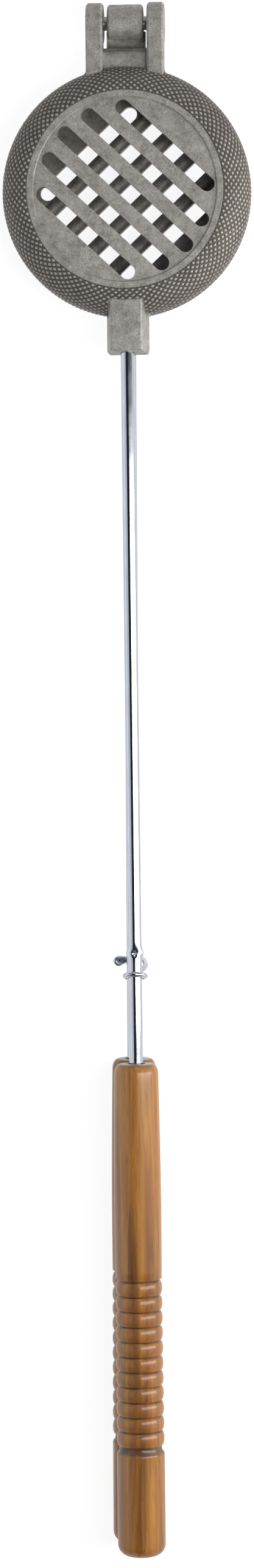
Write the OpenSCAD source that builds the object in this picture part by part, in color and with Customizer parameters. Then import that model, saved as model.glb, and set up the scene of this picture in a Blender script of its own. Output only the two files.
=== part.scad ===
// Campfire burger iron: two round cast cups that close on a patty, hinged at the
// far end, each on a steel rod with a turned wooden handle. A bent wire latch on the
// upper rod holds the lower one.
// It lies on its back cup: +Y runs to the hinge, -Y to the handles, +Z up through
// the cups. The origin is on the back cup's lip, at the centre of its grid.

/* [Cups] */
// Outside diameter of each round cup
cup_d = 112.6; // [100:0.2:130]
// Height of one cup, from the parting plane to its lip
cup_h = 16; // [14:0.5:20]
// Straight height of the rim, before the flank curves in
rim_h = 3; // [2:0.25:4]
// Thickness of the cast wall
wall = 4; // [3:0.25:5]
// Outside radius of the lip round the grid panel
lip_r = 44.4; // [42.5:0.1:45.5]
// Width of the lip
lip_w = 2.8; // [1.5:0.1:3.2]
// How far the grid panel lies below the lip
panel_drop = 1; // [0.4:0.1:1.5]
// Gap between the two parting faces when closed
seat_gap = 0.2; // [0.1:0.05:0.4]

/* [Grid] */
// Number of slots across each panel
slots = 5; // [3:2:5]
// Width of a slot
slot_w = 6.8; // [5:0.1:8]
// Distance from slot to slot
slot_pitch = 13.35; // [12:0.05:14]
// Radius of the circle that the slots' end centres lie on
slot_ring_r = 37.3; // [33:0.1:37.5]
// Turn of the slots from the long axis
slot_turn = 47; // [40:1:50]
// How far the half-round bars stand into the cup
bar_rise = 1.8; // [1:0.1:2.5]
// Flat ledge left beside each half-round bar
bar_ledge = 0.35; // [0.2:0.05:0.6]

/* [Hinge] */
// Distance from the rim out to the hinge pin's axis
pin_out = 20.6; // [19:0.1:24]
// Diameter of the hinge pin
pin_d = 6.4; // [5:0.1:7]
// Radius of the ears' round ends
ear_r = 9.4; // [8.5:0.1:10]
// Thickness of each ear
ear_t = 7.7; // [6:0.1:9]
// Clear width between the ears
ear_gap = 20.1; // [19:0.1:22]
// Radius of the hook that wraps the pin
knuckle_r = 8.5; // [7.5:0.1:9]
// Width of the hook
knuckle_w = 16.1; // [12:0.1:16.5]
// Width of the tongue that carries the hook
tongue_w = 17.8; // [16.6:0.1:18.5]
// How far the web between the ears reaches past the rim
web_out = 9.2; // [8:0.1:10]
// Height of that web over the parting plane
web_h = 4.6; // [3.5:0.1:6]
// Bevel on the edges of ears and hook
edge_bevel = 0.9; // [0.4:0.1:1.2]
// Radial clearance between the pin and the hook
hinge_gap = 0.3; // [0.15:0.05:0.5]
// Radius of the fillets where ears and sockets leave the rim
root_fillet = 3; // [1.5:0.25:4]

/* [Sockets] */
// Width of a socket at the parting plane
socket_w = 19.4; // [17:0.1:22]
// Width of a socket across its outer face
socket_face_w = 15; // [13:0.1:16.5]
// Height of a socket over the parting plane
socket_h = 14.4; // [13:0.1:15]
// How far a socket stands out from the rim
socket_out = 17.5; // [14:0.1:22]
// Depth of the hole that takes the rod
socket_depth = 16; // [10:0.5:19]
// Corner radius of a socket's end
socket_corner = 2.4; // [1:0.1:3]
// Draft of a socket's end face, measured at its outer edge
socket_draft = 1; // [0.5:0.1:1.5]

/* [Rods] */
// Diameter of the steel rods
rod_d = 6.35; // [5.5:0.05:7]
// Height of a rod's axis over the parting plane, where it leaves the socket
rod_rise = 7.2; // [6.6:0.1:7.6]
// Angle by which each rod leads away from the parting plane
rod_splay = 0.6; // [0.55:0.05:1.5]
// Sideways lean of the front rod
front_lean = 0.2; // [-0.3:0.05:0.4]
// Sideways lean of the back rod
back_lean = -0.2; // [-0.4:0.05:0.3]
// Free length of a rod between its socket and its handle
rod_free = 324.2; // [240:1:400]
// Depth to which a rod goes into its handle
rod_seat = 90; // [50:1:120]
// Radial clearance of a pressed-in rod or pin
fit_gap = 0.05; // [0:0.01:0.1]

/* [Handles] */
// Length of a handle
handle_l = 227; // [200:1:260]
// Radius of a handle below its rounded top
handle_top_r = 9.7; // [8.5:0.1:10]
// Radius of the flat at the very top
handle_face_r = 7.4; // [6:0.1:8]
// Length of the rounded shoulder
shoulder_l = 4.2; // [3:0.1:8]
// Radius at the upper end of the ribs
handle_mid_r = 10.7; // [10:0.1:11]
// Radius of the plain butt
handle_butt_r = 11; // [10.2:0.1:11.4]
// Distance from the top to the first rib
ribs_at = 99.9; // [60:0.5:110]
// Number of ribs
ribs = 11; // [4:1:13]
// Length of one rib
rib_pitch = 6.93; // [5:0.01:8]
// Depth of the grooves between ribs
groove_d = 1.2; // [0.5:0.1:1.6]
// Width of the burnt ring under the last rib
burn_w = 3.4; // [2:0.1:5]
// Radius of the rounded butt end
butt_round = 5; // [3:0.25:7]
// Radius of the flared mouth round the rod
mouth_r = 4.4; // [3.8:0.1:5.5]
// Depth of that mouth
mouth_depth = 2.6; // [1:0.1:5]

/* [Latch] */
// Diameter of the latch wire
wire_d = 2.4; // [2:0.1:3]
// Distance from the handle's top up to the latch ring
latch_up = 40; // [30:0.5:60]
// Radial clearance between the ring and its rod
ring_gap = 0.3; // [0.2:0.05:0.6]
// Tilt of the ring on its rod
ring_tilt = 13; // [0:1:14]
// Clearance between the hook and the rod that it holds
hook_gap = 0.8; // [0.4:0.1:1.5]
// How far the finger loop reaches past the rod's axis
finger_reach = 10.4; // [9.5:0.1:16]
// Distance from the ring up to the stake on the rod
stake_up = 10.5; // [9:0.1:16]
// Radius of the stake's pressed-out wings
stake_r = 3.95; // [3.7:0.05:4.3]
// Thickness of those wings
stake_t = 2; // [1.5:0.1:3]

/* [Hidden] */
$fn = 64;

over = 1;
cup_r = cup_d / 2;
face = seat_gap / 2;

// The flank is an arc that leaves the rim upright and ends at the lip
flank_in = cup_r - lip_r;
flank_up = cup_h - rim_h;
flank_r = (flank_in * flank_in + flank_up * flank_up) / (2 * flank_in);
flank_c = cup_r - flank_r;
flank_end = atan2(flank_up, lip_r - flank_c);
flank_steps = 10;
lip_ease = 0.4;
panel_z = cup_h - panel_drop;
floor_z = panel_z - wall;
hollow_r = flank_r - wall;
hollow_end = asin((floor_z - rim_h) / hollow_r);

bar_w = slot_pitch - slot_w - 2 * bar_ledge;
bar_r = (bar_w * bar_w / 4 + bar_rise * bar_rise) / (2 * bar_rise);
bar_reach = slot_ring_r + slot_w / 2;

pin_y = cup_r + pin_out;
pin_l = ear_gap + 2 * ear_t;
web_y = cup_r + web_out;
web_step = 0.8;
web_lip = 3;
throat_d = pin_d + 2 * hinge_gap;
throat_l = knuckle_r + throat_d;
root_in = 6;

socket_y = cup_r + socket_out;
socket_ease = 1.2;
rod_r = rod_d / 2;
rod_bevel = 0.5;
rod_l = socket_depth + rod_free + rod_seat;

butt_at = ribs_at + ribs * rib_pitch + burn_w;
rib_steps = 7;
arc_steps = 6;

wire_r = wire_d / 2;
wire_sides = 10;
wire_steps = 6;
ring_r = rod_r + ring_gap + wire_r;
latch_at = rod_free - latch_up;
hook_up = 6;
hook_at = latch_at - hook_up;
hook_r = rod_r + hook_gap + wire_r;
rods_apart = 2 * (rod_rise + hook_at * sin(rod_splay));
rods_shift = hook_at * (sin(back_lean) - sin(front_lean));
dimple_r = 1.6;
dimple_in = 0.8;

// Points on a circle's arc, for profiles
function arc(cx, cy, r, from, to, steps) =
    [for (i = [0:steps]) let (a = from + (to - from) * i / steps)
        [cx + r * cos(a), cy + r * sin(a)]];

// The cup's outside as a solid of revolution, grown outward for trimming fillets
module cup_outside(grow = 0) {
    rotate_extrude()
        polygon(concat(
            [[0, face], [cup_r + grow, face]],
            arc(flank_c, rim_h, flank_r + grow, 0, flank_end, flank_steps),
            [[lip_r - lip_ease, cup_h + grow / 4], [0, cup_h + grow / 4]]));
}

// The shallow round recess that the grid panel lies in
module panel_recess() {
    translate([0, 0, panel_z])
        rotate_extrude()
            polygon([[0, 0], [lip_r - lip_w, 0],
                     [lip_r - lip_w, panel_drop - lip_ease],
                     [lip_r - lip_w + lip_ease, panel_drop],
                     [lip_r - lip_w + lip_ease, panel_drop + over],
                     [0, panel_drop + over]]);
}

// The hollow that holds half of the patty
module hollow() {
    rotate_extrude()
        polygon(concat(
            [[0, -over], [cup_r - wall, -over]],
            arc(flank_c, rim_h, hollow_r, 0, hollow_end, flank_steps),
            [[0, floor_z]]));
}

// One round-ended slot per step of the pitch, each as long as the end circle allows
module grid_slots() {
    for (i = [0:slots - 1]) {
        off = (i - (slots - 1) / 2) * slot_pitch;
        half = sqrt(slot_ring_r * slot_ring_r - off * off);
        rotate([0, 0, slot_turn])
            translate([off, 0, floor_z - over])
                linear_extrude(cup_h)
                    union() {
                        translate([-slot_w / 2, -half]) square([slot_w, 2 * half]);
                        translate([0, half]) circle(d = slot_w);
                        translate([0, -half]) circle(d = slot_w);
                    }
    }
}

// Half-round bars on the inside of the panel, one between each two slots
module grid_bars() {
    intersection() {
        for (i = [0:slots - 2])
            rotate([0, 0, slot_turn])
                translate([(i - (slots - 2) / 2) * slot_pitch, 0,
                           floor_z - bar_rise + bar_r])
                    rotate([90, 0, 0])
                        cylinder(r = bar_r, h = 2 * bar_reach, center = true);
        cylinder(r = bar_reach, h = floor_z + wall / 2);
    }
}

// A round-ended lug about the X axis, with bevelled edges
module lug(r, w) {
    rotate([0, 90, 0])
        rotate_extrude()
            polygon([[0, -w / 2], [r - edge_bevel, -w / 2], [r, edge_bevel - w / 2],
                     [r, w / 2 - edge_bevel], [r - edge_bevel, w / 2], [0, w / 2]]);
}

// A bar along Y from y0 to y1, its outer edges bevelled
module bevelled_bar(w, z0, z1, y0, y1) {
    translate([0, y1, 0])
        rotate([90, 0, 0])
            linear_extrude(y1 - y0)
                polygon([[-w / 2, z0], [w / 2, z0], [w / 2, z1 - edge_bevel],
                         [w / 2 - edge_bevel, z1], [edge_bevel - w / 2, z1],
                         [-w / 2, z1 - edge_bevel]]);
}

// Fillet between the rim and a wall that leaves it at x, on one side
module rim_fillet(x, height) {
    cx = x + root_fillet;
    cy = sqrt(pow(cup_r + root_fillet, 2) - cx * cx);
    touch = cup_r / (cup_r + root_fillet);
    intersection() {
        linear_extrude(height)
            difference() {
                polygon([[x - over, cy], [cx, cy], [cx * touch, cy * touch],
                         [x, cy * touch - root_fillet / 2],
                         [x - over, cy * touch - root_fillet / 2]]);
                translate([cx, cy]) circle(root_fillet);
            }
        translate([0, 0, 0]) cup_outside(root_fillet);
    }
}

// The drafted block at the rim that takes the rod, its corners rounded
module socket_block() {
    half = socket_w / 2;
    half_face = socket_face_w / 2;
    lean = atan2(half - half_face, socket_h);
    intersection() {
        rotate([90, 0, 0])
            linear_extrude(socket_y)
                polygon(concat(
                    [[half, face]],
                    arc(half_face - socket_ease, socket_h - socket_ease, socket_ease,
                        lean, 90, arc_steps),
                    arc(socket_ease - half_face, socket_h - socket_ease, socket_ease,
                        90, 180 - lean, arc_steps),
                    [[-half, face]]));
        rotate([90, 0, 90])
            translate([0, 0, -half])
                linear_extrude(2 * half)
                    polygon(concat(
                        [[0, face], [0, socket_h]],
                        arc(socket_draft + socket_ease - socket_y,
                            socket_h - socket_ease, socket_ease, 90, 180, arc_steps),
                        [[-socket_y, face]]));
        linear_extrude(socket_h + over)
            union() {
                translate([-half, socket_corner - socket_y])
                    square([2 * half, socket_y]);
                translate([socket_corner - half, -socket_y])
                    square([2 * (half - socket_corner), socket_y]);
                for (side = [-1, 1])
                    translate([side * (half - socket_corner), socket_corner - socket_y])
                        circle(socket_corner);
            }
    }
    for (side = [0, 1])
        mirror([side, 0, 0])
            mirror([0, 1, 0])
                rim_fillet(half - socket_draft, rim_h + root_fillet);
}

// One cup without its hinge: blank, socket, hollow, grid
module cup(splay_sign, lean) {
    difference() {
        union() {
            cup_outside();
            socket_block();
            children();
        }
        hollow();
        panel_recess();
        grid_slots();
        rod_frame(splay_sign, lean)
            translate([0, 0, -socket_depth])
                cylinder(r = rod_r + fit_gap, h = socket_depth + over);
    }
    grid_bars();
}

// Frame of a rod where it leaves its socket, over the parting plane: Z runs to the
// handle, Y away from the table
module rod_frame(splay_sign, lean) {
    translate([0, -socket_y, splay_sign * rod_rise])
        rotate([90 - splay_sign * rod_splay, 0, lean])
            children();
}

module at_parting() {
    translate([0, 0, cup_h]) children();
}

// Ears with the web between them, on the front cup
module ears() {
    root_y = cup_r - root_in;
    for (side = [-1, 1])
        translate([side * (ear_gap + ear_t) / 2, 0, 0]) {
            translate([0, pin_y, 0]) lug(ear_r, ear_t);
            bevelled_bar(ear_t, face, ear_r, root_y, pin_y);
        }
    rotate([90, 0, 90])
        translate([0, 0, -ear_gap / 2 - edge_bevel])
            linear_extrude(ear_gap + 2 * edge_bevel)
                polygon([[root_y, face], [web_y, face], [web_y, web_h / 3],
                         [web_y - web_lip + web_step, web_h - web_step],
                         [web_y - web_lip, web_h - web_step],
                         [web_y - web_lip, web_h], [root_y, web_h]]);
    for (side = [0, 1])
        mirror([side, 0, 0])
            rim_fillet(ear_gap / 2 + ear_t, rim_h + root_fillet);
}

// Tongue with the open hook, on the back cup, seen from its own outer side
module hook() {
    difference() {
        union() {
            translate([0, pin_y, 0]) lug(knuckle_r, knuckle_w);
            bevelled_bar(tongue_w, face, knuckle_r, cup_r - root_in, pin_y - pin_d / 2);
        }
        translate([0, pin_y, 0])
            rotate([0, 90, 0])
                cylinder(r = pin_d / 2 + hinge_gap, h = tongue_w + over, center = true);
        translate([-tongue_w, pin_y - throat_l, -throat_d / 2])
            cube([2 * tongue_w, throat_l, throat_d]);
        translate([-tongue_w, pin_y - throat_l, -knuckle_r])
            cube([2 * tongue_w, throat_l - knuckle_r, knuckle_r]);
    }
    for (side = [0, 1])
        mirror([side, 0, 0])
            rim_fillet(tongue_w / 2, rim_h + root_fillet);
}

module back_cup() {
    color("dimgray")
        at_parting()
            rotate([0, 180, 0])
                cup(1, -back_lean)
                    hook();
}

module front_cup() {
    color("gray")
        at_parting()
            difference() {
                cup(1, front_lean)
                    ears();
                translate([0, pin_y, 0])
                    rotate([0, 90, 0])
                        cylinder(r = pin_d / 2 + fit_gap, h = pin_l + 2 * over,
                                 center = true);
            }
}

module hinge_pin() {
    color("silver")
        at_parting()
            translate([0, pin_y, 0])
                rotate([0, 90, 0])
                    cylinder(d = pin_d, h = pin_l, center = true);
}

// A plain rod from the bottom of its socket to its seat in the handle
module rod() {
    translate([0, 0, -socket_depth])
        rotate_extrude()
            polygon([[0, 0], [rod_r - rod_bevel, 0], [rod_r, rod_bevel],
                     [rod_r, rod_l - rod_bevel], [rod_r - rod_bevel, rod_l],
                     [0, rod_l]]);
}

module back_rod() {
    color("lightsteelblue")
        at_parting()
            rod_frame(-1, back_lean)
                rod();
}

// The front rod is staked above the latch: wings pressed out, a dimple each side
module front_rod() {
    color("lightsteelblue")
        at_parting()
            rod_frame(1, front_lean)
                difference() {
                    union() {
                        rod();
                        translate([0, 0, latch_at - stake_up])
                            rotate([90, 0, 0])
                                cylinder(r = stake_r, h = stake_t, center = true);
                    }
                    for (side = [-1, 1])
                        translate([0, side * (rod_r + dimple_r - dimple_in),
                                   latch_at - stake_up])
                            sphere(dimple_r);
                }
}

// Radius along the ribs: each rib is a flat half-ellipse between sharp grooves
function rib_profile() =
    [for (i = [0:ribs - 1], k = [0:rib_steps])
        let (u = 2 * k / rib_steps - 1,
             base = handle_mid_r - groove_d
                    + (handle_butt_r - handle_mid_r) * (i + k / rib_steps) / ribs)
        [base + groove_d * sqrt(max(0, 1 - u * u)),
         ribs_at + (i + k / rib_steps) * rib_pitch + (k == 0 ? 0.01 : 0)]];

// A turned handle on the rod's axis, its mouth at z = 0
module handle() {
    bore = rod_r + fit_gap;
    shoulder = handle_top_r - handle_face_r;
    neck = handle_mid_r - groove_d;
    difference() {
        rotate_extrude()
            polygon(concat(
                [[0, 0], [handle_face_r, 0]],
                [for (i = [1:arc_steps]) let (a = 90 * i / arc_steps)
                    [handle_face_r + shoulder * sin(a), shoulder_l * (1 - cos(a))]],
                [[handle_mid_r, ribs_at - groove_d], [neck, ribs_at - 0.01]],
                rib_profile(),
                [[handle_butt_r - groove_d, butt_at - burn_w / 3],
                 [handle_butt_r, butt_at]],
                arc(handle_butt_r - butt_round, handle_l - butt_round, butt_round,
                    0, 90, arc_steps),
                [[0, handle_l]]));
        translate([0, 0, -over])
            cylinder(r = bore, h = rod_seat + 2 * over);
        rotate_extrude()
            polygon([[0, -over], [mouth_r, -over], [mouth_r, 0],
                     [bore, mouth_depth], [0, mouth_depth]]);
    }
}

module back_handle() {
    color("peru")
        at_parting()
            rod_frame(-1, back_lean)
                translate([0, 0, rod_free])
                    handle();
}

module front_handle() {
    color("peru")
        at_parting()
            rod_frame(1, front_lean)
                translate([0, 0, rod_free])
                    handle();
}

// The hook's wire, as points that a smooth curve runs through. X is to the right, Y
// up from the table, Z to the handle, and the ring's centre is the origin.
bend_x = rods_shift;
bend_y = -rods_apart;
under = bend_y - hook_r;
fold = wire_d + 0.1;
wire_points = [
    [0, -ring_r, -ring_r * sin(ring_tilt)],
    [hook_r * 0.45, -ring_r - 1.2, -2],
    [bend_x + hook_r + 0.8, bend_y * 0.6, -3.6],
    [bend_x + hook_r, bend_y, -hook_up + 0.8],
    [bend_x + hook_r * 0.62, bend_y - hook_r * 0.8, -hook_up],
    [bend_x - 0.6, under, -hook_up],
    [bend_x - hook_r, under + 0.1, 1.4 - hook_up],
    [wire_r - finger_reach, under + 0.4, 2.3 - hook_up],
    [-finger_reach, under + 0.5, 2.3 - hook_up - fold / 2],
    [wire_r - finger_reach, under + 0.4, 2.3 - hook_up - fold],
    [-finger_reach / 2 - wire_r / 2, under + 0.1, 2.5 - hook_up - fold]];

function catmull(p0, p1, p2, p3, t) =
    ((2 * p1) + (p2 - p0) * t + (2 * p0 - 5 * p1 + 4 * p2 - p3) * t * t
        + (3 * p1 - p0 - 3 * p2 + p3) * t * t * t) / 2;
function smooth_path(p, steps) =
    let (last = len(p) - 1)
    concat([for (i = [0:last - 1], k = [0:steps - 1])
        catmull(p[max(i - 1, 0)], p[i], p[i + 1], p[min(i + 2, last)], k / steps)],
        [p[last]]);
function unit(v) = v / norm(v);
function tangents(p) =
    [for (i = [0:len(p) - 1]) unit(p[min(i + 1, len(p) - 1)] - p[max(i - 1, 0)])];
// Each ring's first direction is the one before it, turned as little as the bend asks
function normals(t) =
    [for (i = 0, n = unit(cross(t[0], [0, 0, 1])); i < len(t);
          i = i + 1, n = i < len(t) ? unit(n - (n * t[i]) * t[i]) : n) n];

// A round tube along a path, closed at both ends
module tube(path, r, sides) {
    t = tangents(path);
    n = normals(t);
    count = len(path);
    points = [for (i = [0:count - 1], k = [0:sides - 1])
        let (a = 360 * k / sides)
        path[i] + r * (cos(a) * n[i] + sin(a) * cross(t[i], n[i]))];
    walls = [for (i = [0:count - 2], k = [0:sides - 1], half = [0, 1])
        let (a = i * sides + k, b = i * sides + (k + 1) % sides)
        half == 0 ? [a, a + sides, b] : [b, a + sides, b + sides]];
    polyhedron(points, concat(walls,
        [[for (k = [0:sides - 1]) k]],
        [[for (k = [sides - 1:-1:0]) (count - 1) * sides + k]]));
}

module latch_wire() {
    color("silver")
        at_parting()
            rod_frame(1, front_lean)
                translate([0, 0, latch_at]) {
                    rotate([-ring_tilt, 0, 0])
                        rotate_extrude()
                            translate([ring_r, 0]) circle(wire_r);
                    tube(smooth_path(wire_points, wire_steps), wire_r, wire_sides);
                }
}

back_cup();
front_cup();
hinge_pin();
back_rod();
front_rod();
back_handle();
front_handle();
latch_wire();
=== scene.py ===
import math

import bmesh
import bpy
import numpy as np
from mathutils import Matrix, Vector


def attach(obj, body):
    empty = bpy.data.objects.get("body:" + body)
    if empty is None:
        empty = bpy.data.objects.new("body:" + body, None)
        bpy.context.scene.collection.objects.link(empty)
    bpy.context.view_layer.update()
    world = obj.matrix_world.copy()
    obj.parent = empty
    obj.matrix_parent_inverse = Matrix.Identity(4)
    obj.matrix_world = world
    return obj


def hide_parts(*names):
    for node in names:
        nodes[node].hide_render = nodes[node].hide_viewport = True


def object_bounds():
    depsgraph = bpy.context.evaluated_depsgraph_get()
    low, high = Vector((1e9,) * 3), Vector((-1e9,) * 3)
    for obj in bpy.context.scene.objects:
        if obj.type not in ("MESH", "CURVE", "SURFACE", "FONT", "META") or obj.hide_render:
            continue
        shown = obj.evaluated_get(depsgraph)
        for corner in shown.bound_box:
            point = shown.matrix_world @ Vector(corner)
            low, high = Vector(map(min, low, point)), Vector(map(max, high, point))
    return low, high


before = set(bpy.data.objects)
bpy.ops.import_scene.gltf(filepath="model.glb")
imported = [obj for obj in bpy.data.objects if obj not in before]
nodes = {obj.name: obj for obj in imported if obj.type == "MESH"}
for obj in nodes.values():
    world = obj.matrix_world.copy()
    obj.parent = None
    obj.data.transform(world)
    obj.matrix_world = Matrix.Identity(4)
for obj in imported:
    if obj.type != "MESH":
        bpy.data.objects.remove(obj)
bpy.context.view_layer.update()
print("frame loaded:", sorted(nodes))

mm = 0.001


# small helpers for meshes and node trees, shared by all the pieces

def meshFromGrid(name, points, quads, mergeDistance=1e-7):
    # points (n, 3) in metres, quads (m, 4); poles are merged so that no quad is pinched
    mesh = bpy.data.meshes.new(name)
    mesh.vertices.add(len(points))
    mesh.vertices.foreach_set("co", np.asarray(points, np.float32).ravel())
    mesh.loops.add(quads.size)
    mesh.loops.foreach_set("vertex_index", np.asarray(quads, np.int32).ravel())
    mesh.polygons.add(len(quads))
    mesh.polygons.foreach_set("loop_start", np.arange(0, quads.size, 4, dtype=np.int32))
    mesh.update(calc_edges=True)
    work = bmesh.new()
    work.from_mesh(mesh)
    bmesh.ops.remove_doubles(work, verts=work.verts, dist=mergeDistance)
    work.to_mesh(mesh)
    work.free()
    return mesh


def gridQuads(rows, columns, closeColumns=True, closeRows=False):
    # vertex (i, j) is number i * columns + j; a closed direction wraps to its start
    i = np.arange(rows if closeRows else rows - 1)
    j = np.arange(columns if closeColumns else columns - 1)
    i, j = [a.ravel() for a in np.meshgrid(i, j, indexing="ij")]
    nextI, nextJ = (i + 1) % rows, (j + 1) % columns
    return np.stack([i * columns + j, i * columns + nextJ,
                     nextI * columns + nextJ, nextI * columns + j], 1)


def facesOutward(mesh):
    work = bmesh.new()
    work.from_mesh(mesh)
    bmesh.ops.recalc_face_normals(work, faces=work.faces)
    work.to_mesh(mesh)
    work.free()


def placePiece(name, mesh, material, body, smooth=True):
    mesh.polygons.foreach_set("use_smooth", np.full(len(mesh.polygons), smooth))
    mesh.materials.append(material)
    piece = bpy.data.objects.new(name, mesh)
    bpy.context.scene.collection.objects.link(piece)
    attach(piece, body)
    return piece


def newTree(name):
    material = bpy.data.materials.new(name)
    material.use_nodes = True
    tree = material.node_tree
    return material, tree, tree.nodes["Principled BSDF"]


def addNode(tree, kind, inputs=None, **settings):
    node = tree.nodes.new(kind)
    for key, value in settings.items():
        setattr(node, key, value)
    for key, value in (inputs or {}).items():
        node.inputs[key].default_value = value
    return node


def objectMapping(tree, scale, turn=(0, 0, 0)):
    place = addNode(tree, "ShaderNodeTexCoord")
    mapping = addNode(tree, "ShaderNodeMapping", {"Scale": scale, "Rotation": turn})
    tree.links.new(place.outputs["Object"], mapping.inputs["Vector"])
    return mapping.outputs["Vector"]


def noise(tree, vector, scale, detail=4, roughness=0.55, distortion=0.0):
    node = addNode(tree, "ShaderNodeTexNoise", {
        "Scale": scale, "Detail": detail, "Roughness": roughness, "Distortion": distortion})
    tree.links.new(vector, node.inputs["Vector"])
    return node.outputs["Fac"]


def ramp(tree, factor, stops):
    node = addNode(tree, "ShaderNodeValToRGB")
    bar = node.color_ramp
    while len(bar.elements) < len(stops):
        bar.elements.new(0.5)
    for element, (position, colour) in zip(bar.elements, stops):
        element.position = position
        element.color = (*colour, 1) if len(colour) == 3 else colour
    tree.links.new(factor, node.inputs["Fac"])
    return node.outputs["Color"]


def mixColour(tree, factor, first, second, blend="MIX"):
    node = addNode(tree, "ShaderNodeMix", data_type="RGBA", blend_type=blend)
    for socket, value in ((0, factor), (6, first), (7, second)):
        if isinstance(value, bpy.types.NodeSocket):
            tree.links.new(value, node.inputs[socket])
        elif socket == 0:
            node.inputs[socket].default_value = value
        else:
            node.inputs[socket].default_value = (*value, 1)
    return node.outputs[2]


def spread(tree, factor, low, high):
    # lays a 0 to 1 pattern out between two values
    node = addNode(tree, "ShaderNodeMapRange", {"To Min": low, "To Max": high})
    tree.links.new(factor, node.inputs["Value"])
    return node.outputs["Result"]


def addBump(tree, shader, heights):
    # heights is a list of (pattern, strength, depth in metres), laid over each other
    normal = None
    for pattern, strength, depth in heights:
        node = addNode(tree, "ShaderNodeBump", {"Strength": strength, "Distance": depth})
        tree.links.new(pattern, node.inputs["Height"])
        if normal:
            tree.links.new(normal, node.inputs["Normal"])
        normal = node.outputs["Normal"]
    tree.links.new(normal, shader.inputs["Normal"])


def vertexPattern(tree, name):
    return addNode(tree, "ShaderNodeAttribute", attribute_name=name).outputs["Fac"]


def storePattern(mesh, name, values):
    layer = mesh.attributes.new(name, "FLOAT", "POINT")
    layer.data.foreach_set("value", np.asarray(values, np.float32))


# cast iron: sand-cast skin, mottled; the checkered flank has painted shade in its valleys and painted
# light on its points

castSettings = {
    "dark": (0.215, 0.2, 0.182), "mid": (0.33, 0.315, 0.288), "light": (0.44, 0.425, 0.395),
    # flank colours: painted shade in the checkering's valleys, a middle tone, painted light on its
    # points
    "flankValleyShade": (0.055, 0.048, 0.04), "flankSide": (0.2, 0.182, 0.16),
    "flankTipLight": (0.47, 0.45, 0.41),
    "grain": 1300.0, "mottle": 210.0, "pits": 900.0, "metallic": 0.45,
}


def castColour(tree):
    place = objectMapping(tree, (1, 1, 1))
    grain = noise(tree, place, castSettings["grain"], 5, 0.65)
    mottle = noise(tree, place, castSettings["mottle"], 6, 0.7)
    pits = addNode(tree, "ShaderNodeTexVoronoi", {"Scale": castSettings["pits"]})
    tree.links.new(place, pits.inputs["Vector"])
    base = ramp(tree, mottle, [(0.3, castSettings["dark"]), (0.5, castSettings["mid"]),
                               (0.72, castSettings["light"])])
    specks = ramp(tree, grain, [(0.32, (0.62, 0.61, 0.6)), (0.55, (1, 1, 1)),
                                (0.75, (1.0, 1.0, 1.0))])
    return mixColour(tree, 1.0, base, specks, "MULTIPLY"), grain, mottle, pits


def makeCastIron():
    material, tree, shader = newTree("castIron")
    colour, grain, mottle, pits = castColour(tree)
    tree.links.new(colour, shader.inputs["Base Color"])
    shader.inputs["Metallic"].default_value = castSettings["metallic"]
    tree.links.new(spread(tree, mottle, 0.62, 0.4), shader.inputs["Roughness"])
    addBump(tree, shader, [(mottle, 0.35, 0.0006), (grain, 0.5, 0.00035),
                           (pits.outputs["Distance"], 0.25, 0.00025)])
    return material


def makeCheckeredIron():
    # as the cast iron, but with painted shade in the valleys and at the skin's edges, and painted
    # light on the points, set by the relief height
    material, tree, shader = newTree("checkeredIron")
    _, grain, mottle, _ = castColour(tree)
    relief = vertexPattern(tree, "relief")
    # painted shade where the relief is low, painted light where it is high
    colour = ramp(tree, relief, [(0.02, castSettings["flankValleyShade"]),
                                 (0.5, castSettings["flankSide"]),
                                 (0.95, castSettings["flankTipLight"])])
    shade = ramp(tree, mottle, [(0.3, (0.62, 0.6, 0.58)), (0.7, (1, 1, 1))])
    tree.links.new(mixColour(tree, 1.0, colour, shade, "MULTIPLY"), shader.inputs["Base Color"])
    shader.inputs["Metallic"].default_value = castSettings["metallic"]
    tree.links.new(spread(tree, relief, 0.6, 0.36), shader.inputs["Roughness"])
    addBump(tree, shader, [(grain, 0.35, 0.00025)])
    return material


# plated and plain steel

steelSettings = {
    "plate": (0.5, 0.52, 0.57), "plateDull": (0.38, 0.4, 0.45), "plateRoughness": 0.1,
    "pin": (0.5, 0.48, 0.46), "pinWorn": (0.32, 0.3, 0.275), "pinRoughness": 0.36,
}


def makePlatedSteel(name, roughness):
    # faint drawing lines along the rod, cloudy patches, and a slight orange peel
    material, tree, shader = newTree(name)
    lines = noise(tree, objectMapping(tree, (2600, 18, 2600)), 1.0, 3)
    cloud = noise(tree, objectMapping(tree, (1, 1, 1)), 90, 5, 0.6)
    tree.links.new(mixColour(tree, spread(tree, cloud, 0.0, 1.0), steelSettings["plate"],
                             steelSettings["plateDull"]), shader.inputs["Base Color"])
    shader.inputs["Metallic"].default_value = 1.0
    tree.links.new(spread(tree, cloud, roughness * 0.6, roughness * 1.9),
                   shader.inputs["Roughness"])
    addBump(tree, shader, [(lines, 0.08, 0.00003), (cloud, 0.1, 0.0002)])
    return material


def makePinSteel():
    material, tree, shader = newTree("pinSteel")
    lines = noise(tree, objectMapping(tree, (60, 2500, 2500)), 1.0, 4)
    wear = noise(tree, objectMapping(tree, (1, 1, 1)), 420, 5, 0.6)
    tree.links.new(ramp(tree, wear, [(0.35, steelSettings["pinWorn"]),
                                     (0.65, steelSettings["pin"])]),
                   shader.inputs["Base Color"])
    shader.inputs["Metallic"].default_value = 0.9
    tree.links.new(spread(tree, wear, 0.5, steelSettings["pinRoughness"]),
                   shader.inputs["Roughness"])
    addBump(tree, shader, [(lines, 0.3, 0.00008), (wear, 0.3, 0.0002)])
    return material


# varnished wood, its grain along Y as the handles lie

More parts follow.
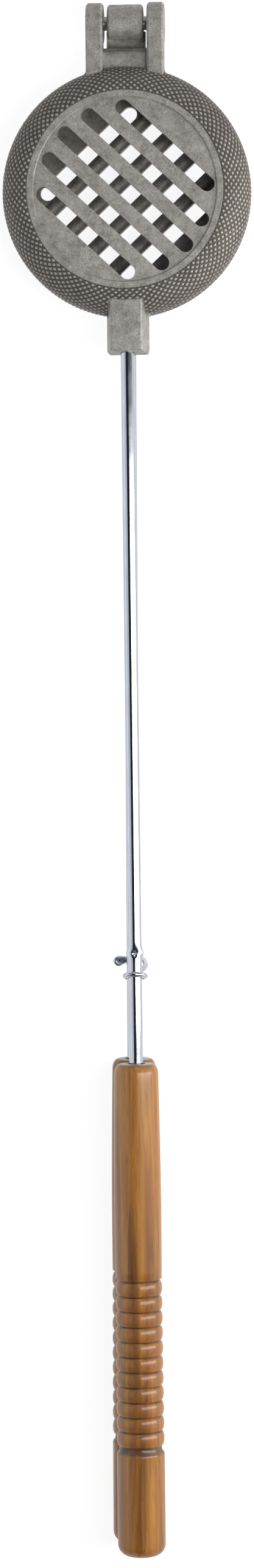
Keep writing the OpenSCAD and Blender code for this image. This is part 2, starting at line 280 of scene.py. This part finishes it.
woodSettings = {
    "dark": (0.14, 0.052, 0.006), "mid": (0.29, 0.118, 0.013), "light": (0.45, 0.205, 0.03),
    # the last colour on the next line is painted shade for the mouth, shoulder and grooves, and the
    # colour of the dark ring
    "red": (0.31, 0.1, 0.014), "endGrain": (0.33, 0.235, 0.135), "burnt": (0.022, 0.009, 0.003),
    "coat": 0.45, "coatRoughness": 0.13,
}


def makeVarnishedWood():
    material, tree, shader = newTree("varnishedWood")
    streaks = noise(tree, objectMapping(tree, (900, 22, 900)), 1.0, 5, 0.6, 0.6)
    bands = noise(tree, objectMapping(tree, (190, 9, 190), (0, 0, 0.02)), 1.0, 4, 0.55, 0.9)
    pores = noise(tree, objectMapping(tree, (2600, 130, 2600)), 1.0, 2, 0.5)
    blotch = noise(tree, objectMapping(tree, (55, 26, 55)), 1.0, 4, 0.6)
    base = ramp(tree, bands, [(0.3, woodSettings["dark"]), (0.47, woodSettings["mid"]),
                              (0.7, woodSettings["light"])])
    fine = ramp(tree, streaks, [(0.3, (0.6, 0.52, 0.42)), (0.55, (1, 1, 1))])
    base = mixColour(tree, 0.75, base, fine, "MULTIPLY")
    base = mixColour(tree, spread(tree, blotch, -0.35, 0.75), base, woodSettings["red"])
    poreMask = ramp(tree, pores, [(0.3, (0.45, 0.4, 0.34)), (0.4, (1, 1, 1))])
    base = mixColour(tree, 0.6, base, poreMask, "MULTIPLY")
    rings = addNode(tree, "ShaderNodeTexWave", {"Scale": 0.42, "Distortion": 2.5, "Detail": 3},
                    wave_type="RINGS", rings_direction="Y")
    tree.links.new(objectMapping(tree, (1000, 1000, 1000)), rings.inputs["Vector"])
    endTone = ramp(tree, rings.outputs["Fac"], [(0.1, (0.19, 0.125, 0.066)),
                                                (0.8, woodSettings["endGrain"])])
    base = mixColour(tree, vertexPattern(tree, "endGrain"), base, endTone)
    # painted shade in the mouth, on the shoulder and in the grooves, and the ring painted dark
    base = mixColour(tree, vertexPattern(tree, "burn"), base, woodSettings["burnt"])
    tree.links.new(base, shader.inputs["Base Color"])
    tree.links.new(spread(tree, streaks, 0.42, 0.6), shader.inputs["Roughness"])
    shader.inputs["Coat Weight"].default_value = woodSettings["coat"]
    shader.inputs["Coat Roughness"].default_value = woodSettings["coatRoughness"]
    shader.inputs["Specular IOR Level"].default_value = 0.4
    addBump(tree, shader, [(bands, 0.12, 0.0004), (streaks, 0.12, 0.00015),
                           (pores, 0.08, 0.0001)])
    return material


castIron = makeCastIron()
checkeredIron = makeCheckeredIron()
rodPlate = makePlatedSteel("rodPlate", steelSettings["plateRoughness"])
wirePlate = makePlatedSteel("wirePlate", 0.15)
pinSteel = makePinSteel()
varnishedWood = makeVarnishedWood()
print("materials ready")


def dressNode(name, material):
    node = nodes[name]
    node.data.materials.clear()
    node.data.materials.append(material)


dressNode("back_cup", castIron)
dressNode("front_cup", castIron)
dressNode("hinge_pin", pinSteel)
print("castings and pin dressed")


# checkered flank of each cup

checkerSettings = {
    "partingZ": 16 * mm, "rimRadius": 56.3 * mm, "rimHeight": 3 * mm, "cupHeight": 16 * mm,
    "lipRadius": 44.4 * mm, "pointsRound": 94, "samples": 8, "rowPeriod": 2.5 * mm,
    "pointHeight": 0.5 * mm, "skinGap": 0.02 * mm, "rimDown": 2.2 * mm, "edgeFade": 0.7 * mm,
}


def checkeredFlank(name, upSign, hiddenAt, body):
    # The skin follows the flank's arc, angle theta round the cup and length t along the
    # arc from the lip to the rim. Its height is a lattice of four-sided points: one
    # less the larger of two saw waves that run along the diagonals of the lattice.
    s = checkerSettings
    inset = s["rimRadius"] - s["lipRadius"]
    rise = s["cupHeight"] - s["rimHeight"]
    arcRadius = (inset ** 2 + rise ** 2) / (2 * inset)
    arcCentre = s["rimRadius"] - arcRadius
    topAngle = math.atan2(rise, s["lipRadius"] - arcCentre)
    arcLength = arcRadius * topAngle
    length = arcLength + s["rimDown"]
    rows = int(round(length / s["rowPeriod"] * s["samples"])) + 1
    columns = s["pointsRound"] * s["samples"]
    t = np.linspace(0, length, rows)[:, None]
    theta = (np.arange(columns) * 2 * math.pi / columns)[None, :]
    along = np.minimum(t, arcLength)
    lean = topAngle - along / arcRadius
    radius = arcCentre + arcRadius * np.cos(lean)
    height = s["rimHeight"] + arcRadius * np.sin(lean) - np.maximum(t - arcLength, 0)
    u = theta * s["pointsRound"] / (2 * math.pi)
    v = t / s["rowPeriod"]
    saw = [np.abs((w + 0.5) % 1 - 0.5) * 2 for w in (u + v, u - v)]
    point = 1 - np.maximum(*saw)
    point = np.clip(point, 0, 0.88) / 0.88
    point = point * point * (3 - 2 * point) * 0.45 + point * 0.55
    fade = np.clip(np.minimum(t, length - t) / s["edgeFade"], 0, 1)
    relief = point * fade
    lift = s["skinGap"] + s["pointHeight"] * relief
    lift = lift - 0.3 * mm * (fade < 0.01)
    radius = radius + lift * np.cos(lean)
    height = height + lift * np.sin(lean)
    x = radius * np.cos(theta)
    y = radius * np.sin(theta)
    z = s["partingZ"] + upSign * height
    points = np.stack([x, y, z + 0 * theta], 2).reshape(-1, 3)
    quads = gridQuads(rows, columns)
    if upSign > 0:
        quads = quads[:, ::-1]
    middle = points[quads].mean(1)
    localHeight = (middle[:, 2] - s["partingZ"]) * upSign
    quads = quads[~hiddenAt(middle[:, 0], middle[:, 1], localHeight)]
    used = np.unique(quads)
    number = np.zeros(len(points), int)
    number[used] = np.arange(len(used))
    mesh = meshFromGrid(name, points[used], number[quads], 1e-9)
    storePattern(mesh, "relief", relief.ravel()[used])
    return placePiece(name, mesh, checkeredIron, body)


def underSocket(x, y, height):
    half = 9.7 * mm - height * 2.2 / 14.4 + 0.3 * mm
    return (y < 0) & (np.abs(x) < half) & (height < 14.5 * mm)


def underEars(x, y, height):
    side = np.abs(x)
    ear = (side > 9.9 * mm) & (side < 17.9 * mm) & (height < 9.5 * mm)
    web = (side < 10.2 * mm) & (height < 4.7 * mm)
    return (y > 0) & (ear | web)


def underTongue(x, y, height):
    return (y > 0) & (np.abs(x) < 9.1 * mm) & (height < 8.6 * mm)


frontFlank = checkeredFlank("frontFlank", 1, lambda x, y, h: underSocket(x, y, h)
                            | underEars(x, y, h), "front_iron")
backFlank = checkeredFlank("backFlank", -1, lambda x, y, h: underSocket(x, y, h)
                           | underTongue(x, y, h), "back_iron")
print("checkered flanks:", len(frontFlank.data.polygons), len(backFlank.data.polygons), "faces")


# the rods' own frames: Z runs to the handle, Y up from the table

ironSettings = {
    "socketEnd": 73.8 * mm, "partingZ": 16 * mm, "rise": 7.2 * mm, "splay": 0.6,
    "frontLean": 0.2, "backLean": -0.2,
}


def rodFrame(side, lean):
    s = ironSettings
    turn = Matrix.Rotation(math.radians(lean), 3, "Z") @ \
        Matrix.Rotation(math.radians(90 - side * s["splay"]), 3, "X")
    start = np.array([0, -s["socketEnd"], s["partingZ"] + side * s["rise"]])
    return start, np.array(turn)


frontFrame = rodFrame(1, ironSettings["frontLean"])
backFrame = rodFrame(-1, ironSettings["backLean"])


def toWorld(rodStart, points):
    start, turn = rodStart
    return start + points @ turn.T


# rods: plain on the back iron, staked above the latch on the front one

rodSettings = {
    "radius": 3.175 * mm, "from": -16 * mm, "to": 414.2 * mm, "bevel": 0.5 * mm, "sides": 80,
    "stakeAt": 273.7 * mm, "wing": 0.85 * mm, "wingLength": 2.3 * mm, "dimple": 0.85 * mm,
    "dimpleRadius": 1.25 * mm, "pinchLength": 3.4 * mm,
}


def makeRod(name, rodStart, staked, body):
    # Radius over angle and length: the plain rod, plus a wing at each side of the stake
    # that dies away as a bell curve, less a round dimple at its top and bottom.
    s = rodSettings
    ends = np.array([s["from"], s["from"], s["from"] + s["bevel"]])
    near = s["stakeAt"] - 7 * mm
    far = s["stakeAt"] + 7 * mm
    z = np.concatenate([ends, np.linspace(s["from"] + 2 * mm, near, 50),
                        np.linspace(near, far, 90)[1:], np.linspace(far, s["to"] - 2 * mm, 30)[1:],
                        [s["to"] - s["bevel"], s["to"], s["to"]]])[:, None]
    angle = (np.arange(s["sides"]) * 2 * math.pi / s["sides"])[None, :]
    radius = s["radius"] + 0 * z * angle
    if staked:
        away = z - s["stakeAt"]
        radius = radius + s["wing"] * np.exp(-(away / s["wingLength"]) ** 2) \
            * np.abs(np.cos(angle)) ** 8
        for middle in (math.pi / 2, 1.5 * math.pi):
            apart = (angle - middle) * s["radius"]
            radius = radius - s["dimple"] * np.exp(
                -(away ** 2 + apart ** 2) / s["dimpleRadius"] ** 2)
            radius = radius - 0.22 * mm * np.exp(-(away / s["pinchLength"]) ** 2
                                                 - (apart / (2.2 * mm)) ** 2)
    cut = np.ones(len(z))
    cut[[0, -1]] = 0
    cut[[1, -2]] = 1 - s["bevel"] / s["radius"]
    radius = radius * cut[:, None]
    points = np.stack([radius * np.cos(angle), radius * np.sin(angle), z + 0 * angle], 2)
    mesh = meshFromGrid(name, toWorld(rodStart, points.reshape(-1, 3)),
                        gridQuads(len(z), s["sides"]))
    facesOutward(mesh)
    return placePiece(name, mesh, rodPlate, body)


backRod = makeRod("backRod", backFrame, False, "back_iron")
frontRod = makeRod("frontRod", frontFrame, True, "front_iron")
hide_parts("back_rod")
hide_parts("front_rod")
print("rods turned, front one staked")


# handles

handleSettings = {
    "topAt": 324.2 * mm, "length": 227 * mm, "faceRadius": 7.2 * mm, "topRadius": 10.1 * mm,
    "shoulder": 4.6 * mm, "bellyRadius": 10.75 * mm, "bellyAt": 70 * mm,
    "midRadius": 10.7 * mm, "buttRadius": 11 * mm, "ribsAt": 99.9 * mm, "ribs": 11,
    "ribPitch": 6.93 * mm, "groove": 1.25 * mm, "darkRingWidth": 3.4 * mm, "buttRound": 5.4 * mm,
    "mouthRadius": 4.4 * mm, "mouthDepth": 2.6 * mm, "boreRadius": 3.3 * mm, "sides": 96,
    "ribSamples": 16,
}


def handleProfile():
    # (radius, distance from the top, end grain, painted shade and dark ring) from the mouth
    # to the butt: a round shoulder, a slow swell, ribs that are half-ellipses between sharp
    # grooves, a ring painted dark and a butt that is rounded as a quarter-circle. Painted
    # shade darkens the mouth round the rod, a band on the shoulder and each groove.
    s = handleSettings
    # painted shade fills the mouth round the rod
    rows = [(0, s["mouthDepth"], 0, 1), (s["boreRadius"], s["mouthDepth"], 0, 1),
            (s["mouthRadius"] - 0.3 * mm, 0.5 * mm, 0.2, 0.75), (s["mouthRadius"], 0.1 * mm, 0.7, 0.3),
            (s["mouthRadius"] + 0.5 * mm, 0, 1, 0)]
    rows += [(r, 0.25 * mm * ((r / s["faceRadius"]) ** 4), 1, 0)
             for r in np.linspace(5.3 * mm, s["faceRadius"], 5)]
    width = s["topRadius"] - s["faceRadius"]
    # the rounded shoulder carries a band of painted shade
    for a in np.linspace(8, 90, 12):
        c, sn = math.cos(math.radians(a)), math.sin(math.radians(a))
        rows.append((s["faceRadius"] + width * sn, 0.25 * mm + s["shoulder"] * (1 - c),
                     max(0, 1 - a / 30), max(0, 0.5 - abs(a - 26) / 40)))
    start = 0.25 * mm + s["shoulder"]
    for d in np.linspace(start, s["ribsAt"] - 1.1 * mm, 26)[1:]:
        f = (d - start) / (s["bellyAt"] - start)
        r = s["topRadius"] + (s["bellyRadius"] - s["topRadius"]) * math.sin(
            min(f, 1.4) * math.pi / 2)
        rows.append((max(r, s["topRadius"]), d, 0, 0))
    # painted shade in the groove where the ribs begin
    rows.append((s["midRadius"] - s["groove"], s["ribsAt"] - 0.12 * mm, 0, 0.95))
    for rib in range(s["ribs"]):
        for k in range(s["ribSamples"] + 1):
            w = 2 * k / s["ribSamples"] - 1
            swell = math.sqrt(max(0.0, 1 - w * w))
            base = s["midRadius"] + (s["buttRadius"] - s["midRadius"]) * rib / s["ribs"] \
                - s["groove"]
            d = s["ribsAt"] + (rib + 0.5 + w * 0.488) * s["ribPitch"]
            # painted shade in the groove between ribs
            rows.append((base + s["groove"] * swell, d, 0, max(0.0, 0.85 - swell * 1.6)))
    ringAt = s["ribsAt"] + s["ribs"] * s["ribPitch"]
    low = s["buttRadius"] - s["groove"]
    # a ring painted dark at the step after the ribs
    rows += [(low, ringAt + 0.3 * mm, 0, 1), (low + 0.1 * mm, ringAt + s["darkRingWidth"] * 0.55, 0, 1),
             (s["buttRadius"] - 0.25 * mm, ringAt + s["darkRingWidth"] * 0.9, 0, 0.6),
             (s["buttRadius"], ringAt + s["darkRingWidth"] * 1.1, 0, 0.05)]
    rows += [(s["buttRadius"], d, 0, 0) for d in np.linspace(
        ringAt + s["darkRingWidth"] * 1.3, s["length"] - s["buttRound"], 12)]
    for a in np.linspace(6, 90, 14):
        c, sn = math.cos(math.radians(a)), math.sin(math.radians(a))
        rows.append((s["buttRadius"] - s["buttRound"] * (1 - c),
                     s["length"] - s["buttRound"] * (1 - sn), max(0, (a - 60) / 30), 0))
    rows.append((0, s["length"], 1, 0))
    return np.array(rows)


def makeHandle(name, rodStart, body, seed):
    s = handleSettings
    rows = handleProfile()
    angle = (np.arange(s["sides"]) * 2 * math.pi / s["sides"])[None, :]
    # the painted shade in the mouth, on the shoulder and in the grooves, and the dark ring, vary
    # unevenly round the handle
    uneven = 0.75 + 0.25 * np.sin(angle * 2 + rows[:, 1:2] * 300 + seed) \
        * np.cos(angle * 3 - rows[:, 1:2] * 170)
    radius, away = rows[:, 0:1], rows[:, 1:2]
    points = np.stack([radius * np.cos(angle), radius * np.sin(angle),
                       s["topAt"] + away + 0 * angle], 2)
    mesh = bpy.data.meshes.new(name)
    flat = toWorld(rodStart, points.reshape(-1, 3))
    quads = gridQuads(len(rows), s["sides"])
    mesh.vertices.add(len(flat))
    mesh.vertices.foreach_set("co", flat.astype(np.float32).ravel())
    mesh.loops.add(quads.size)
    mesh.loops.foreach_set("vertex_index", quads.astype(np.int32).ravel())
    mesh.polygons.add(len(quads))
    mesh.polygons.foreach_set("loop_start", np.arange(0, quads.size, 4, dtype=np.int32))
    mesh.update(calc_edges=True)
    storePattern(mesh, "endGrain", (rows[:, 2:3] + 0 * angle).ravel())
    # painted shade and the dark ring, varied round the handle
    storePattern(mesh, "burn", np.clip(rows[:, 3:4] * uneven * 1.2, 0, 1).ravel())
    work = bmesh.new()
    work.from_mesh(mesh)
    bmesh.ops.remove_doubles(work, verts=work.verts, dist=1e-7)
    bmesh.ops.recalc_face_normals(work, faces=work.faces)
    work.to_mesh(mesh)
    work.free()
    return placePiece(name, mesh, varnishedWood, body)


backHandle = makeHandle("backHandle", backFrame, "back_iron", 1.3)
frontHandle = makeHandle("frontHandle", frontFrame, "front_iron", 4.1)
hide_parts("back_handle")
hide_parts("front_handle")
print("handles turned")


# latch: one wire, a ring round the front rod and a hook round the back one

latchSettings = {
    "ringAt": 284.2 * mm, "wireRadius": 1.2 * mm, "ringRadius": 4.675 * mm, "ringTilt": 13,
    "sides": 20, "steps": 12, "capRings": 6,
    "path": [(0, -4.675, -1.05), (2.33, -5.9, -2), (4.03, -12.1, -3.6), (3.23, -20.2, -5.2),
             (1.27, -24.4, -6), (-2.5, -25.4, -6), (-7.1, -25.3, -4.6), (-9.2, -25.0, -3.7),
             (-10.4, -24.9, -4.95), (-9.2, -25.0, -6.2), (-5.8, -25.3, -6.0)],
}


def smoothPath(points, steps):
    # a curve through all the points, each stretch a cubic of its four neighbours
    p = np.asarray(points, float)
    p0, p1 = np.vstack([p[:1], p[:-2]]), p[:-1]
    p2, p3 = p[1:], np.vstack([p[2:], p[-1:]])
    t = (np.arange(steps) / steps)[None, :, None]
    p0, p1, p2, p3 = [a[:, None, :] for a in (p0, p1, p2, p3)]
    curve = (2 * p1 + (p2 - p0) * t + (2 * p0 - 5 * p1 + 4 * p2 - p3) * t ** 2
             + (3 * p1 - p0 - 3 * p2 + p3) * t ** 3) / 2
    return np.vstack([curve.reshape(-1, 3), p[-1:]])


def tubeAlong(path, radius, sides, capRings):
    # Rings of the wire's radius square to the path. Each ring's first direction is the
    # last one's, less its part along the path. The free end is rounded as a half-ball.
    tangent = np.gradient(path, axis=0)
    tangent /= np.linalg.norm(tangent, axis=1)[:, None]
    first = np.zeros_like(path)
    side = np.cross(tangent[0], (0, 0, 1.0))
    for k in range(len(path)):
        side = side - tangent[k] * (side @ tangent[k])
        side /= np.linalg.norm(side)
        first[k] = side
    reach = np.sin(np.linspace(0, math.pi / 2, capRings + 1)[1:])
    path = np.vstack([path, path[-1] + tangent[-1] * radius * reach[:, None]])
    scale = np.concatenate([np.ones(len(tangent)), np.sqrt(np.maximum(0, 1 - reach ** 2))])
    tangent = np.vstack([tangent, np.repeat(tangent[-1:], capRings, 0)])
    first = np.vstack([first, np.repeat(first[-1:], capRings, 0)])
    second = np.cross(tangent, first)
    angle = np.arange(sides) * 2 * math.pi / sides
    ring = first[:, None] * np.cos(angle)[None, :, None] \
        + second[:, None] * np.sin(angle)[None, :, None]
    points = path[:, None] + ring * (radius * scale)[:, None, None]
    return points.reshape(-1, 3), gridQuads(len(path), sides)


def makeLatch():
    s = latchSettings
    path = smoothPath(np.array(s["path"]) * mm, s["steps"])
    points, quads = tubeAlong(path, s["wireRadius"], s["sides"], s["capRings"])
    turns = 72
    a = (np.arange(turns) * 2 * math.pi / turns)[:, None]
    b = (np.arange(s["sides"]) * 2 * math.pi / s["sides"])[None, :]
    reach = s["ringRadius"] + s["wireRadius"] * np.cos(b)
    ring = np.stack([reach * np.cos(a), reach * np.sin(a),
                     s["wireRadius"] * np.sin(b) + 0 * a], 2).reshape(-1, 3)
    tilt = np.array(Matrix.Rotation(math.radians(-s["ringTilt"]), 3, "X"))
    ring = ring @ tilt.T
    quads = np.vstack([quads, gridQuads(turns, s["sides"], True, True) + len(points)])
    points = np.vstack([points, ring]) + (0, 0, s["ringAt"])
    mesh = meshFromGrid("latchWire", toWorld(frontFrame, points), quads)
    facesOutward(mesh)
    return placePiece("latchWire", mesh, wirePlate, "latch")


latchWire = makeLatch()
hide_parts("latch_wire")
print("latch bent")


# floor, light and camera

roomSettings = {
    "floorDrop": 0.6 * mm, "floorSize": 14.0, "floorGlow": 0.86, "floorTone": 0.3,
}


def makeFloor():
    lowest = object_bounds()[0].z - roomSettings["floorDrop"]
    half = roomSettings["floorSize"] / 2
    mesh = bpy.data.meshes.new("paleFloor")
    mesh.from_pydata([(-half, -half, lowest), (half, -half, lowest), (half, half, lowest),
                      (-half, half, lowest)], [], [(0, 1, 2, 3)])
    material = bpy.data.materials.new("paleFloor")
    material.use_nodes = True
    tree = material.node_tree
    tree.nodes.clear()
    glow = addNode(tree, "ShaderNodeEmission", {
        "Color": (1, 1, 1, 1), "Strength": roomSettings["floorGlow"]})
    tone = roomSettings["floorTone"]
    paint = addNode(tree, "ShaderNodeBsdfDiffuse", {"Color": (tone, tone, tone, 1)})
    plain = addNode(tree, "ShaderNodeBsdfDiffuse", {"Color": (0.8, 0.8, 0.8, 1)})
    both = addNode(tree, "ShaderNodeAddShader")
    tree.links.new(glow.outputs[0], both.inputs[0])
    tree.links.new(paint.outputs[0], both.inputs[1])
    rays = addNode(tree, "ShaderNodeLightPath")
    seen = addNode(tree, "ShaderNodeMath", operation="MAXIMUM")
    tree.links.new(rays.outputs["Is Camera Ray"], seen.inputs[0])
    tree.links.new(rays.outputs["Is Glossy Ray"], seen.inputs[1])
    choose = addNode(tree, "ShaderNodeMixShader")
    tree.links.new(seen.outputs[0], choose.inputs["Fac"])
    tree.links.new(plain.outputs[0], choose.inputs[1])
    tree.links.new(both.outputs[0], choose.inputs[2])
    out = addNode(tree, "ShaderNodeOutputMaterial")
    tree.links.new(choose.outputs[0], out.inputs["Surface"])
    mesh.materials.append(material)
    floor = bpy.data.objects.new("paleFloor", mesh)
    bpy.context.scene.collection.objects.link(floor)


def makeWorld():
    # a room that is dim overhead and pale at the horizon, white where the camera sees it
    world = bpy.data.worlds.new("paleRoom")
    bpy.context.scene.world = world
    world.use_nodes = True
    tree = world.node_tree
    tree.nodes.clear()
    place = addNode(tree, "ShaderNodeTexCoord")
    parts = addNode(tree, "ShaderNodeSeparateXYZ")
    tree.links.new(place.outputs["Generated"], parts.inputs[0])
    tone = ramp(tree, parts.outputs["Z"], [(0.0, (0.9, 0.9, 0.9)), (0.3, (0.4, 0.41, 0.44)),
                                           (0.62, (0.15, 0.16, 0.19)), (0.95, (0.02, 0.02, 0.025))])
    light = addNode(tree, "ShaderNodeBackground", {"Strength": 1.0})
    tree.links.new(tone, light.inputs["Color"])
    white = addNode(tree, "ShaderNodeBackground", {"Color": (1, 1, 1, 1), "Strength": 1.0})
    rays = addNode(tree, "ShaderNodeLightPath")
    choose = addNode(tree, "ShaderNodeMixShader")
    tree.links.new(rays.outputs["Is Camera Ray"], choose.inputs["Fac"])
    tree.links.new(light.outputs[0], choose.inputs[1])
    tree.links.new(white.outputs[0], choose.inputs[2])
    out = addNode(tree, "ShaderNodeOutputWorld")
    tree.links.new(choose.outputs[0], out.inputs["Surface"])


lampSettings = {
    "target": (0, -0.27, 0.015),
    "lamps": [
        {"name": "stripRight", "at": (0.86, -0.27, 0.74), "size": (0.42, 1.9), "watts": 21.0,
         "colour": (1, 0.99, 0.97)},
        {"name": "panelLeft", "at": (-1.5, -0.3, 0.75), "size": (1.5, 2.2), "watts": 9.0,
         "colour": (0.9, 0.95, 1.0)},
        {"name": "stripFar", "at": (0.1, 1.5, 1.2), "size": (1.4, 0.5), "watts": 5.0,
         "colour": (1, 1, 1)},
    ],
}


def makeLamps():
    for lamp in lampSettings["lamps"]:
        data = bpy.data.lights.new(lamp["name"], "AREA")
        data.shape = "RECTANGLE"
        data.size, data.size_y = lamp["size"]
        data.energy = lamp["watts"]
        data.color = lamp["colour"]
        light = bpy.data.objects.new(lamp["name"], data)
        light.location = lamp["at"]
        back = Vector(lamp["at"]) - Vector(lampSettings["target"])
        light.rotation_mode = "QUATERNION"
        light.rotation_quaternion = back.to_track_quat("Z", "Y")
        bpy.context.scene.collection.objects.link(light)


cameraSettings = {
    "at": (0.1036, -0.2036, 1.7000), "turn": (-2.299, 3.585, -0.539), "focalPixels": 6030.4,
    "longSide": 2576, "sensor": 36.0,
}


def makeCamera():
    s = cameraSettings
    data = bpy.data.cameras.new("photoCamera")
    data.sensor_width = s["sensor"]
    data.lens = s["focalPixels"] / s["longSide"] * s["sensor"]
    data.clip_start, data.clip_end = 0.05, 40
    camera = bpy.data.objects.new("photoCamera", data)
    camera.location = s["at"]
    camera.rotation_euler = [math.radians(a) for a in s["turn"]]
    bpy.context.scene.collection.objects.link(camera)
    bpy.context.scene.camera = camera


makeFloor()
makeWorld()
makeLamps()
makeCamera()
bpy.context.scene.view_settings.view_transform = "Standard"
print("floor, light and camera set")
